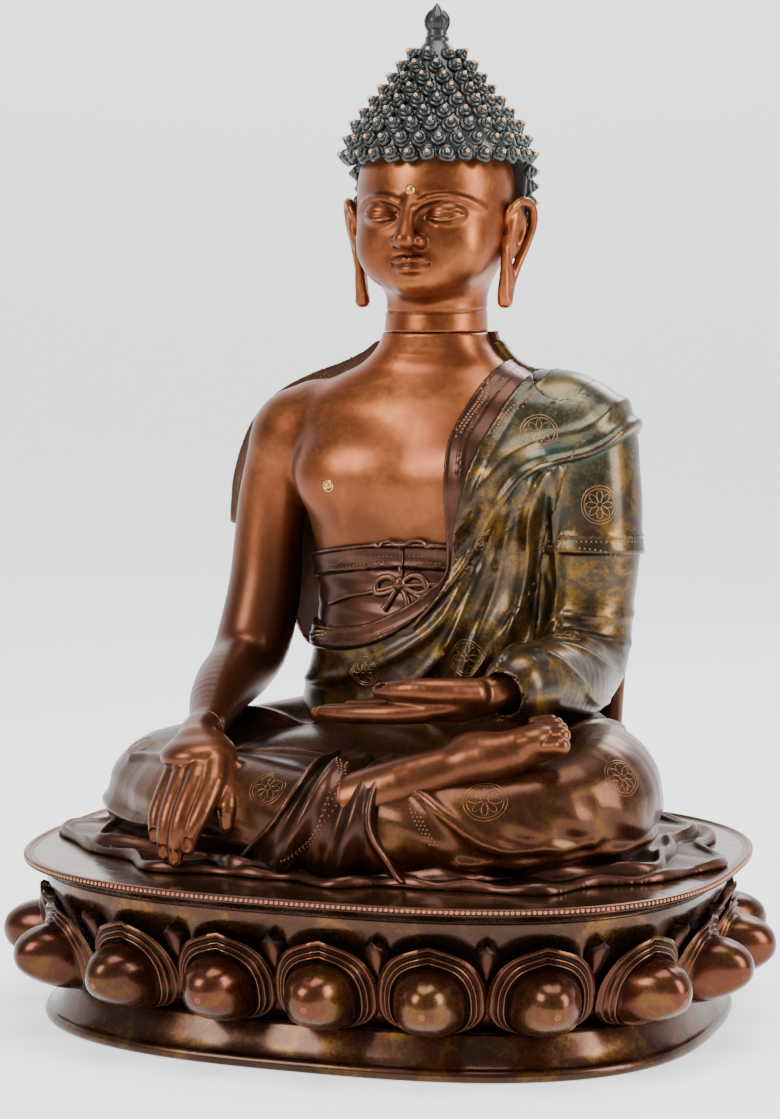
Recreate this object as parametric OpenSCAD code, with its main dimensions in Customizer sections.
// Seated figure on an oval lotus pedestal, cast in sections.
// Origin: centre of the footprint on the floor. +Z up, the figure faces -Y.
// Millimetres.

/* [Pedestal] */
// Half width of the seat rim, side to side
rim_a = 223; // [215:1:230]
// Half depth of the seat rim, front to back
rim_b = 183; // [176:1:190]
// Squareness of the oval, 2 is a true ellipse
rim_power = 2.7; // [2.3:0.1:3]
// Height of the seat surface above the floor
seat_z = 102; // [100:1:106]
// Wall thickness of the pedestal casting
wall = 4; // [3:0.5:5]
// Number of petals in the main row
petal_count = 19; // [17:1:20]
// Place of the first petal right of the front, in petal widths
petal_phase = 0.26; // [0:0.02:0.5]
// How far a petal's boss stands out from its back
petal_bulge = 37; // [30:1:40]

/* [Figure] */
// Gap under the figure, so that it lifts off freely
lift_gap = 0.3; // [0.2:0.1:0.5]
// Wall thickness of the figure castings
skin = 4; // [3:0.5:5]
// Thickness of the robe over the body
robe_t = 4; // [3:0.5:5]
// Distance of the body's axis behind the centre
axis_y = 90; // [86:1:92]
// Height of the neck's joint line
neck_z = 421; // [419:1:423]

/* [Hair] */
// Distance from curl to curl
curl_pitch = 12.6; // [12:0.2:14]
// Radius of one curl
curl_r = 5.6; // [5:0.1:5.8]
// Height of the finial's tip above the floor
total_h = 630; // [626:1:634]

/* [Fixings] */
// Radius of the neck tenon
tenon_r = 16; // [12:1:20]
// Radius of the wrist dowels
dowel_r = 3.5; // [3:0.5:5]
// Gap all round a dowel, tenon or stud in its hole
peg_gap = 0.2; // [0.1:0.05:0.3]
// Number of tabs that hold the bottom sheet
tab_count = 12; // [8:1:16]

/* [Hidden] */

BRONZE = [0.36, 0.20, 0.12];
SKIN = [0.62, 0.36, 0.20];
ROBE = [0.33, 0.24, 0.13];
EDGING = [0.35, 0.17, 0.12];
DARK = [0.22, 0.20, 0.19];
COPPER = [0.62, 0.35, 0.22];
BRASS = [0.78, 0.60, 0.30];

ring_sides = 48;
limb_fn = 14;
small_fn = 8;
figure_z = seat_z + lift_gap;
cloth_t = 5;
lap_z = figure_z + cloth_t;
lug_w = 30;
lug_d = 14;
lug_drop = 8;
lug_x = 70;
lug_y = 60;
slot_gap = 0.6;
plate_t = 3;
sheet_t = 1.2;
sheet_z = 3;
sheet_inset = 22;
sash_low = 236;
sash_high = 288;
hair_front_z = 530;
hair_top_z = 607;
far = 400;

// Distance from the centre to an oval of half sizes a and b in the direction t
function oval_r(a, b, n, t) = 1 / pow(pow(abs(cos(t)) / a, n) + pow(abs(sin(t)) / b, n), 1 / n);

// Point of the rim's oval, moved in by inset, in the direction t
function rim_point(inset, t, z) =
    let (r = oval_r(rim_a - inset, rim_b - inset, rim_power, t)) [r * cos(t), r * sin(t), z];

// Faces of a closed stack of rings
function stack_faces(rings, sides) = concat(
    [[for (i = [0:sides - 1]) i]],
    [[for (i = [sides - 1:-1:0]) (rings - 1) * sides + i]],
    [for (k = [0:rings - 2]) for (i = [0:sides - 1])
        let (j = (i + 1) % sides)
        [k * sides + i, (k + 1) * sides + i, (k + 1) * sides + j, k * sides + j]]);

// Ring-shaped solid with a closed section of [inset, z] points
module rim_ring(section) {
    count = len(section);
    points = [for (s = section) for (i = [0:ring_sides - 1])
        rim_point(s[0], i * 360 / ring_sides, s[1])];
    faces = [for (k = [0:count - 1]) for (i = [0:ring_sides - 1])
        let (j = (i + 1) % ring_sides, m = (k + 1) % count)
        [k * ring_sides + i, m * ring_sides + i, m * ring_sides + j, k * ring_sides + j]];
    polyhedron(points, faces, convexity = 6);
}

// Flat plate with the rim's outline moved in by inset
module rim_plate(inset, z, t) {
    translate([0, 0, z])
        linear_extrude(t)
            polygon([for (i = [0:ring_sides - 1])
                let (p = rim_point(inset, i * 360 / ring_sides, 0)) [p[0], p[1]]]);
}

// Solid through oval sections [z, x, y, half width, half depth, squareness]
module loft(sections, sides = 24) {
    points = [for (s = sections) for (i = [0:sides - 1])
        let (t = i * 360 / sides, r = oval_r(s[3], s[4], s[5], t))
        [s[1] + r * cos(t), s[2] + r * sin(t), s[0]]];
    polyhedron(points, stack_faces(len(sections), sides), convexity = 4);
}

// Chain of balls [x, y, z, radius] with straight skins between them
module limb(stops, grow = 0, fn = limb_fn) {
    for (i = [0:len(stops) - 2])
        hull() {
            ball(stops[i], grow, fn);
            ball(stops[i + 1], grow, fn);
        }
}

module ball(stop, grow, fn) {
    translate([stop[0], stop[1], stop[2]])
        sphere(stop[3] + grow, $fn = fn);
}

// ---- Pedestal ----

module foot_ring() {
    color(BRONZE)
        rim_ring([[15, 0], [12, 3], [14, 6.5], [18.5, 9], [22, 17], [26, 25], [38, 25],
            [sheet_inset, 7], [sheet_inset, 0]]);
}

module pedestal_drum() {
    drum = [[36, 25], [33, 55], [27, 76], [17, 91]];
    inner = [for (i = [len(drum) - 1:-1:0]) [drum[i][0] + wall, drum[i][1]]];
    color(BRONZE)
        rim_ring(concat(drum, inner));
}

module rim_collar() {
    color(BRONZE)
        rim_ring([[17, 91], [9, 94], [3.5, seat_z - plate_t], [17, seat_z - plate_t], [17 + wall, 91]]);
}

module bead_rim() {
    color(COPPER)
        rim_ring([[3.5, seat_z - plate_t], [0, seat_z - 1.6], [0.6, seat_z + 0.6], [2.2, seat_z + 1.4],
            [4.2, seat_z], [4.2, seat_z - plate_t]]);
}

module seat_plate() {
    color(BRONZE)
        difference() {
            rim_plate(4.2, seat_z - plate_t, plate_t);
            for (side = [-1, 1])
                translate([side * lug_x - lug_w / 2 - slot_gap, lug_y - lug_d / 2 - slot_gap, seat_z - 10])
                    cube([lug_w + 2 * slot_gap, lug_d + 2 * slot_gap, 20]);
        }
}

module sealing_plate() {
    color(COPPER)
        rim_plate(sheet_inset, sheet_z, sheet_t);
}

module crimp_tabs() {
    color(BRONZE)
        for (i = [0:tab_count - 1]) {
            t = (i + 0.5) * 360 / tab_count;
            p = rim_point(sheet_inset + 5, t, 1.4);
            translate(p)
                rotate([0, 0, t])
                    translate([-3.5, -4, 0])
                        cube([7, 8, sheet_z - 1.4]);
        }
}

// Length along the rim's oval up to each of its steps
petal_steps = 360;
function petal_base(i) = rim_point(26, i * 360 / petal_steps - 90, 0);
function run(i, sum, goal) =
    let (step = norm(petal_base(i + 1) - petal_base(i)))
    (sum + step > goal || i > petal_steps) ? i + (goal - sum) / step : run(i + 1, sum + step, goal);
function girth(i = 0, sum = 0) =
    i >= petal_steps ? sum : girth(i + 1, sum + norm(petal_base(i + 1) - petal_base(i)));
rim_girth = girth();

// Places its child at each petal's foot, facing out; shift is in petal widths
module around_rim(shift) {
    for (k = [0:petal_count - 1]) {
        t = run(0, 0, (k + shift) * rim_girth / petal_count) * 360 / petal_steps - 90;
        a = rim_point(26, t - 1, 0);
        b = rim_point(26, t + 1, 0);
        translate(rim_point(26, t, 0))
            rotate([0, 0, atan2(b[1] - a[1], b[0] - a[0]) - 90])
                children();
    }
}

// Closed petal: back plate leaning on the drum, bulging front, tip turned out
module petal(w, low, high, bulge, lean) {
    cols = 6;
    rows = 5;
    widest = 0.6;
    foot_width = 0.8;
    function edge(v) = w / 2 * (v < widest ? foot_width + (1 - foot_width) * sin(v / widest * 90)
        : sqrt(max(0.06, 1 - pow((v - widest) / (1.02 - widest), 2))));
    function front(u, v) = bulge * pow(max(0, 1 - u * u), 0.6) * (0.30 + 0.70 * sin(30 + 150 * pow(v, 0.9)));
    function back(v) = lookup(v, [[0, -10.4], [0.47, -7.4], [0.81, -1.4], [1, lean]]);
    grid = [for (r = [0:rows]) for (c = [0:cols]) let (v = r / rows, u = 2 * c / cols - 1)
        [back(v) + 3 + front(u, v), u * edge(v), low + (high - low) * v]];
    rear = [for (r = [0:rows]) for (c = [0:cols]) let (v = r / rows, u = 2 * c / cols - 1)
        [back(v), u * edge(v), low + (high - low) * v]];
    n = (rows + 1) * (cols + 1);
    m = cols + 1;
    sheet = [for (r = [0:rows - 1]) for (c = [0:cols - 1])
        let (i = r * m + c) [i, i + m, i + m + 1, i + 1]];
    behind = [for (r = [0:rows - 1]) for (c = [0:cols - 1])
        let (i = n + r * m + c) [i, i + 1, i + m + 1, i + m]];
    sides = [for (r = [0:rows - 1]) for (e = [0, cols])
        let (i = r * m + e) e == 0 ? [i, n + i, n + i + m, i + m] : [i, i + m, n + i + m, n + i]];
    ends = [for (c = [0:cols - 1]) for (r = [0, rows])
        let (i = r * m + c) r == 0 ? [i, i + 1, n + i + 1, n + i] : [i, n + i, n + i + 1, i + 1]];
    polyhedron(concat(grid, rear), concat(sheet, behind, sides, ends), convexity = 4);
}

module lotus_petals() {
    pitch = rim_girth / petal_count;
    color(EDGING)
        around_rim(petal_phase)
            petal(pitch - 5, 25.5, 88, petal_bulge, 6);
}

module petal_tips() {
    color(BRONZE)
        around_rim(petal_phase + 0.5)
            hull() {
                translate([0, 0, 70])
                    cylinder(h = 1, r1 = 2, r2 = 3, $fn = 6);
                translate([9, 0, 80])
                    cylinder(h = 5, r1 = 7, r2 = 5, $fn = 6);
                translate([14, 0, 89])
                    cylinder(h = 1, r1 = 3, r2 = 1, $fn = 6);
            }
}

// ---- Figure forms, used by more than one piece ----

torso_rings = [[lap_z + 28, 0, axis_y + 2, 88, 62, 2.3], [185, 0, axis_y, 82, 58, 2.3],
    [215, 0, axis_y - 2, 76, 57, 2.3], [240, 0, axis_y - 2, 73, 56, 2.3],
    [270, 0, axis_y - 1, 75, 55, 2.3], [300, 0, axis_y, 82, 56, 2.3],
    [330, 0, axis_y + 1, 92, 56, 2.3], [355, 0, axis_y + 2, 97, 51, 2.3],
    [375, 0, axis_y + 3, 92, 44, 2.2], [390, 0, axis_y + 3, 74, 37, 2.1],
    [400, 0, axis_y + 2, 54, 33, 2.1], [410, 0, axis_y + 1, 41, 32, 2], [neck_z, 0, axis_y, 34, 32, 2]];

arm_stops = [[-94, 94, 356, 27], [-110, 93, 330, 24], [-116, 89, 285, 22.5], [-121, 82, 240, 21.5],
    [-126, 70, 210, 19], [-121, 30, 194, 17.5], [-112, -12, 184, 14.5], [-103, -48, 176, 11]];
sleeve_stops = [[90, 94, 358, 29], [104, 92, 330, 29], [104, 90, 292, 28], [102, 88, 250, 24],
    [100, 80, 208, 27], [100, 40, 206, 25], [96, -2, 208, 22], [90, -36, 211, 18]];
right_leg_stops = [[-50, 85, 145, 38], [-110, 40, 138, 37], [-148, -8, 136, 32], [-120, -62, 138, 32],
    [-60, -92, 146, 27], [0, -98, 154, 22], [28, -100, 158, 19]];
left_leg_stops = [[50, 85, 145, 38], [110, 40, 140, 39], [140, -14, 140, 36], [110, -70, 134, 34],
    [50, -96, 128, 31], [-10, -92, 128, 28], [-60, -70, 130, 27]];
shin_stops = [[28, -106, 160, 11], [60, -104, 167, 11.5], [86, -96, 175, 12.5]];
foot_stops = [[86, -96, 175, 12.5], [98, -92, 180, 11.5], [112, -90, 183, 10.5], [124, -86, 186, 8.5]];

module torso_form(grow = 0) {
    loft([for (s = torso_rings) [s[0], s[1], s[2], s[3] + grow, s[4] + grow, s[5]]]);
}

module legs_form(grow = 0) {
    limb(right_leg_stops, grow);
    limb(left_leg_stops, grow);
    hull() {
        ball([-60, 70, 150, 40], grow, limb_fn);
        ball([60, 70, 150, 40], grow, limb_fn);
        ball([-40, 110, 150, 42], grow, limb_fn);
        ball([40, 110, 150, 42], grow, limb_fn);
    }
    hull() {
        ball([-70, -20, 130, 26], grow, limb_fn);
        ball([70, -20, 130, 26], grow, limb_fn);
        ball([0, 60, 150, 30], grow, limb_fn);
        ball([0, -60, 130, 26], grow, limb_fn);
    }
}

module below(z) {
    translate([-far, -far, z - far])
        cube([2 * far, 2 * far, far]);
}

module above(z) {
    translate([-far, -far, z])
        cube([2 * far, 2 * far, far]);
}

// Half space on the robe's side of the line from the left shoulder to the right hip
module robe_side(shift) {
    translate([shift, 0, 0])
        union() {
            translate([44, 0, 395])
                rotate([0, 26, 0])
                    translate([0, -far, -155])
                        cube([far, 2 * far, 320]);
            translate([-far, -far, 0])
                cube([2 * far, 2 * far, sash_low - shift]);
            translate([-far, axis_y + 12, 0])
                cube([2 * far, far, 384]);
        }
}

// ---- Figure, lower part ----

module seat_cloth() {
    folds = 22;
    function hem(t) = oval_r(201, 136 + 16 * max(0, sin(t)), 2.35, t) + 4 * sin(folds * t / 2);
    color(ROBE)
        translate([0, 0, figure_z])
            linear_extrude(cloth_t)
                polygon([for (t = [0:2.5:357.5]) [hem(t) * cos(t), hem(t) * sin(t) + 2]]);
}

module locating_lugs() {
    color(BRONZE)
        for (side = [-1, 1])
            translate([side * lug_x - lug_w / 2, lug_y - lug_d / 2, figure_z - lug_drop])
                cube([lug_w, lug_d, lug_drop]);
}

module lap() {
    color(ROBE)
        difference() {
            legs_form();
            below(lap_z);
            torso_form();
            foot_form();
            hull() {
                ball([-70, 60, 130, 30], 0, small_fn);
                ball([70, 60, 130, 30], 0, small_fn);
                ball([-70, -10, 118, 22], 0, small_fn);
                ball([70, -10, 118, 22], 0, small_fn);
                ball([0, 60, 140, 30], 0, small_fn);
            }
        }
}

module fold_form() {
    for (i = [0:4])
        hull() {
            translate([-10 + 6 * i, -108, 176])
                sphere(5.5, $fn = small_fn);
            translate([-24 + 13 * i, -127, 140])
                sphere(6.5, $fn = small_fn);
            translate([-34 + 17 * i, -131, lap_z + 7])
                sphere(7, $fn = small_fn);
        }
    hull() {
        translate([-14, -104, 180])
            sphere(6, $fn = small_fn);
        translate([20, -104, 180])
            sphere(6, $fn = small_fn);
        translate([-30, -120, lap_z + 7])
            sphere(7, $fn = small_fn);
        translate([30, -120, lap_z + 7])
            sphere(7, $fn = small_fn);
    }
}

module hanging_folds() {
    color(ROBE)
        difference() {
            fold_form();
            legs_form();
            foot_form();
            below(lap_z);
        }
}

module foot_form() {
    limb(shin_stops);
    limb(foot_stops);
    for (i = [0:4])
        hull() {
            translate([122, -94 + 4.6 * i, 188 - 0.5 * i])
                sphere(4.4 - 0.2 * i, $fn = small_fn);
            translate([138 - 2.4 * i, -96 + 5.2 * i, 191 - 0.5 * i])
                sphere(4.2 - 0.3 * i, $fn = small_fn);
        }
}

module right_foot() {
    color(SKIN)
        foot_form();
}

// ---- Figure, upper part ----

module torso() {
    inside = [for (s = torso_rings) if (s[0] > 180 && s[0] < 400)
        [s[0], s[1], s[2], s[3] - skin, s[4] - skin, s[5]]];
    color(SKIN)
        difference() {
            torso_form();
            limb(arm_stops);
            limb(sleeve_stops);
            loft(inside);
            tenon_form(peg_gap);
        }
}

module waist_sash() {
    color(EDGING)
        difference() {
            intersection() {
                torso_form(3);
                above(sash_low);
                below(sash_high);
            }
            torso_form();
            robe_side(0);
            limb(arm_stops);
            limb(sleeve_stops);
        }
}

module bow_form() {
    knot = [-4, axis_y - 62, 266];
    limb([[knot[0], knot[1], knot[2], 4.4], [knot[0] - 12, knot[1] - 1, knot[2] + 5, 3],
        [knot[0] - 19, knot[1] + 1, knot[2] + 1, 3], [knot[0] - 10, knot[1], knot[2] - 3, 2.6]], 0, small_fn);
    limb([[knot[0], knot[1], knot[2], 4.4], [knot[0] + 12, knot[1] - 1, knot[2] + 5, 3],
        [knot[0] + 19, knot[1] + 1, knot[2] + 1, 3], [knot[0] + 10, knot[1], knot[2] - 3, 2.6]], 0, small_fn);
    limb([[knot[0] - 1, knot[1], knot[2] - 2, 2.6], [knot[0] - 9, knot[1], knot[2] - 21, 2.8]], 0, small_fn);
    limb([[knot[0] + 1, knot[1], knot[2] - 2, 2.6], [knot[0] + 7, knot[1], knot[2] - 22, 2.8]], 0, small_fn);
}

module sash_bow() {
    color(EDGING)
        difference() {
            bow_form();
            torso_form(3);
            intersection() {
                torso_form(robe_t + 2.3);
                robe_side(-1.3);
            }
        }
}

// Cloth that hangs down behind the right shoulder and arm
module cape_form() {
    hull() {
        ball([-60, 122, 384, 7], 0, small_fn);
        ball([-114, 122, 360, 6], 0, small_fn);
        ball([-60, 134, 300, 10], 0, small_fn);
        ball([-140, 122, 300, 5], 0, small_fn);
    }
    hull() {
        ball([-60, 134, 300, 10], 0, small_fn);
        ball([-140, 122, 300, 5], 0, small_fn);
        ball([-70, 140, 200, 8], 0, small_fn);
        ball([-132, 118, 200, 5], 0, small_fn);
    }
}

module outer_robe() {
    color(ROBE)
        difference() {
            union() {
                intersection() {
                    torso_form(robe_t);
                    robe_side(0);
                }
                cape_form();
            }
            torso_form();
            limb(arm_stops);
            limb(sleeve_stops);
            legs_form();
            below(lap_z);
            above(neck_z - 22);
        }
}

module robe_border() {
    color(EDGING)
        difference() {
            intersection() {
                torso_form(robe_t + 2);
                difference() {
                    robe_side(-1);
                    robe_side(14);
                }
            }
            torso_form(robe_t);
            limb(arm_stops);
            limb(sleeve_stops);
            cape_form();
            translate([-far, axis_y + 20, 0])
                cube([2 * far, far, far * 2]);
            below(sash_low - 16);
            above(neck_z - 22);
        }
}

hand_stops_r = [[-103, -48, 176, 11], [-99, -78, 174, 11], [-94, -104, 168, 11.5], [-90, -116, 158, 10.5]];
hand_stops_l = [[90, -36, 211, 11], [74, -50, 204, 11.5], [56, -58, 199, 11.5], [38, -62, 196, 10]];

module right_arm() {
    color(SKIN)
        difference() {
            limb(arm_stops);
            limb(hand_stops_r);
            dowel(arm_stops[7], hand_stops_r[1], peg_gap);
        }
}

// Round dowel between a wrist and a hand, or with a gap the hole for it
module dowel(from, to, gap = 0) {
    d = [to[0] - from[0], to[1] - from[1], to[2] - from[2]];
    translate([from[0], from[1], from[2]])
        rotate([0, acos(d[2] / norm(d)), atan2(d[1], d[0])])
            translate([0, 0, -18 - gap])
                cylinder(h = 34 + 2 * gap, r = dowel_r + gap, $fn = 40);
}

module right_hand() {
    color(SKIN)
        difference() {
            union() {
                limb(hand_stops_r);
                for (i = [0:3])
                    limb([[-98 + 6 * i, -112, 160, 6], [-101 + 6.2 * i, -122, 142, 5.4],
                        [-102 + 6.4 * i, -126 + abs(i - 1), 126, 5],
                        [-102 + 6.4 * i, -127 + abs(i - 1), 114 + 1.2 * i * i, 4.2]], 0, small_fn);
                limb([[-86, -100, 166, 7.5], [-74, -108, 152, 6], [-70, -116, 138, 5]], 0, small_fn);
            }
            legs_form();
            dowel(arm_stops[7], hand_stops_r[1], peg_gap);
        }
}

module left_sleeve() {
    color(ROBE)
        difference() {
            union() {
                limb(sleeve_stops);
                hull() {
                    translate([102, 92, 352])
                        cylinder(h = 1, r = 32, $fn = 24);
                    translate([102, 90, 288])
                        cylinder(h = 1, r = 34, $fn = 24);
                }
            }
            limb(hand_stops_l);
            dowel(sleeve_stops[7], hand_stops_l[1], peg_gap);
            legs_form();
            torso_form(robe_t + 2);
            above(396);
        }
}

module left_hand() {
    color(SKIN)
        difference() {
            union() {
                limb(hand_stops_l);
                for (i = [0:3])
                    limb([[40, -70 + 5.4 * i, 198, 5.6], [18, -74 + 6 * i, 194, 5],
                        [-2, -74 + 6 * i, 192, 4.6],
                        [-22 + 3 * abs(i - 1.4), -72 + 6 * i, 193, 4]], 0, small_fn);
                limb([[64, -62, 206, 7], [44, -72, 209, 5.5], [22, -76, 209, 4.5]], 0, small_fn);
            }
            legs_form();
            foot_form();
            dowel(sleeve_stops[7], hand_stops_l[1], peg_gap);
        }
}

module arm_dowels() {
    color(BRASS) {
        dowel(arm_stops[7], hand_stops_r[1]);
        dowel(sleeve_stops[7], hand_stops_l[1]);
    }
}

// ---- Head ----

module tenon_form(gap = 0) {
    translate([0, axis_y, neck_z - 24 - gap])
        cylinder(h = 44 + 2 * gap, r = tenon_r + gap, $fn = 64);
}

module neck_tenon() {
    color(BRONZE)
        tenon_form();
}

head_rings = [[neck_z, 0, axis_y, 34, 32, 2], [432, 0, axis_y - 1, 33, 32, 2],
    [441, 0, axis_y - 6, 33, 38, 2.1], [448, 0, axis_y - 8, 39, 44, 2.2], [460, 0, axis_y - 4, 44, 50, 2.3],
    [480, 0, axis_y, 49, 54, 2.3], [500, 0, axis_y + 2, 52, 56, 2.3], [520, 0, axis_y + 3, 53, 56, 2.2],
    [540, 0, axis_y + 3, 49, 52, 2.2], [555, 0, axis_y + 3, 40, 43, 2.1], [566, 0, axis_y + 3, 26, 28, 2]];

hair_rings = [[468, 0, axis_y + 12, 46, 48, 2.2], [484, 0, axis_y + 8, 53, 54, 2.2],
    [505, 0, axis_y + 6, 58, 59, 2.2], [532, 0, axis_y + 4, 59, 59, 2.2], [548, 0, axis_y + 3, 53, 53, 2.1],
    [562, 0, axis_y + 3, 42, 42, 2], [578, 0, axis_y + 3, 29, 29, 2], [594, 0, axis_y + 3, 18, 18, 2],
    [hair_top_z, 0, axis_y + 3, 7, 7, 2]];

module head_form() {
    loft(head_rings);
}

module head() {
    nose_y = axis_y - 53;
    color(SKIN)
        difference() {
            union() {
                head_form();
                hull() {
                    translate([0, nose_y + 2, 500])
                        sphere(3.5, $fn = 16);
                    translate([0, nose_y - 5, 474])
                        sphere(5.5, $fn = 16);
                }
                for (side = [-1, 1]) {
                    hull() {
                        translate([side * 8, nose_y + 4, 503])
                            sphere(3, $fn = 12);
                        translate([side * 34, nose_y + 16, 503])
                            sphere(3, $fn = 12);
                    }
                    hull() {
                        translate([side * 13, nose_y + 5, 492])
                            sphere(4.5, $fn = 12);
                        translate([side * 29, nose_y + 12, 492])
                            sphere(4.5, $fn = 12);
                    }
                    hull() {
                        translate([0, nose_y + 2, 463])
                            sphere(2.6, $fn = 12);
                        translate([side * 10, nose_y + 5, 463])
                            sphere(2, $fn = 12);
                    }
                    hull() {
                        translate([0, nose_y + 2.4, 459])
                            sphere(2.8, $fn = 12);
                        translate([side * 8, nose_y + 5, 459.5])
                            sphere(2, $fn = 12);
                    }
                }
            }
            tenon_form(peg_gap);
            urna_form(peg_gap);
        }
}

// Space in front of the hairline, open for the face
module face_space() {
    translate([-far, -far, 0])
        cube([2 * far, far + axis_y + 6, hair_front_z]);
}

module cap_form() {
    difference() {
        loft(hair_rings, 32);
        face_space();
    }
}

module hair_cap() {
    color(DARK)
        difference() {
            cap_form();
            head_form();
            hull() {
                ear_low(-1);
                ear_low(1);
            }
            for (i = [0:7])
                hull() {
                    translate([0, axis_y, 500 + i])
                        sphere(20, $fn = 12);
                    translate([0, axis_y + 4, 510])
                        sphere(20, $fn = 12);
                }
        }
}

module ear_low(side) {
    translate([side * 47, axis_y - 6, 436])
        sphere(5, $fn = 12);
}

// Half width and half depth of the hair at height z
function hair_size(z, col) = lookup(z, [for (s = hair_rings) [s[0], s[col]]]);

// Blunt curl pointing along +Z, its foot pegged into the cap
module curl() {
    translate([0, 0, -2.5])
        cylinder(h = 8.5, r1 = curl_r, r2 = curl_r / 3, $fn = 6);
}

module hair_curls() {
    rows = 12;
    color(DARK)
        for (k = [0:rows - 1]) {
            z = 478 + k * 10.8;
            a = hair_size(z, 3);
            b = hair_size(z, 4);
            yc = hair_size(z, 2);
            slope = atan2(hair_size(z - 4, 3) - hair_size(z + 4, 3), 8);
            count = floor(PI * (a + b) / curl_pitch);
            for (i = [0:count - 1]) {
                t = (i + (k % 2) / 2) * 360 / count - 90;
                r = oval_r(a, b, 2.1, t);
                if (z > hair_front_z + 1 || r * sin(t) + yc > axis_y + 12)
                    translate([r * cos(t), yc + r * sin(t), z])
                        rotate([0, 90 - slope, t])
                            curl();
            }
        }
}

module ear_form(side) {
    limb([[side * 54, axis_y - 2, 500, 4.5], [side * 59, axis_y + 4, 492, 4.5],
        [side * 57, axis_y + 4, 476, 4], [side * 52, axis_y, 462, 3.8],
        [side * 49, axis_y - 4, 446, 4.2], [side * 47, axis_y - 6, 437, 5]], 0, small_fn);
    limb([[side * 54, axis_y - 2, 500, 4.5], [side * 52, axis_y - 8, 486, 4],
        [side * 50, axis_y - 8, 470, 3.6], [side * 47, axis_y - 8, 452, 4],
        [side * 47, axis_y - 6, 437, 5]], 0, small_fn);
}

module ears() {
    color(SKIN)
        difference() {
            union() {
                ear_form(-1);
                ear_form(1);
            }
            head_form();
            cap_form();
        }
}

module crown_jewel() {
    color(DARK)
        translate([0, axis_y + 3, hair_top_z])
            rotate_extrude($fn = 48)
                polygon([[0, 0], [5.5, 0], [6.5, 1.5], [6, 3.5], [4.8, 4.5], [6.6, 7], [7.6, 10], [7.2, 13],
                    [5.2, 16.5], [3, 19], [1.6, 21], [0, total_h - hair_top_z]]);
}

module urna_form(gap = 0) {
    translate([0, axis_y - 49 + gap, 514])
        rotate([90, 0, 0])
            cylinder(h = 6.5 + gap, r = 3 + gap, $fn = 32);
}

module urna() {
    color(BRASS)
        urna_form();
}

module chest_stud() {
    color(BRASS)
        translate([-52, axis_y - 47, 324])
            rotate([90, 0, 0])
                cylinder(h = 6, r = 2.4, $fn = 32);
}

foot_ring();
pedestal_drum();
lotus_petals();
petal_tips();
rim_collar();
bead_rim();
seat_plate();
sealing_plate();
crimp_tabs();
seat_cloth();
locating_lugs();
lap();
hanging_folds();
right_foot();
torso();
waist_sash();
sash_bow();
outer_robe();
robe_border();
right_arm();
right_hand();
left_sleeve();
left_hand();
arm_dowels();
neck_tenon();
head();
ears();
hair_cap();
hair_curls();
crown_jewel();
urna();
chest_stud();
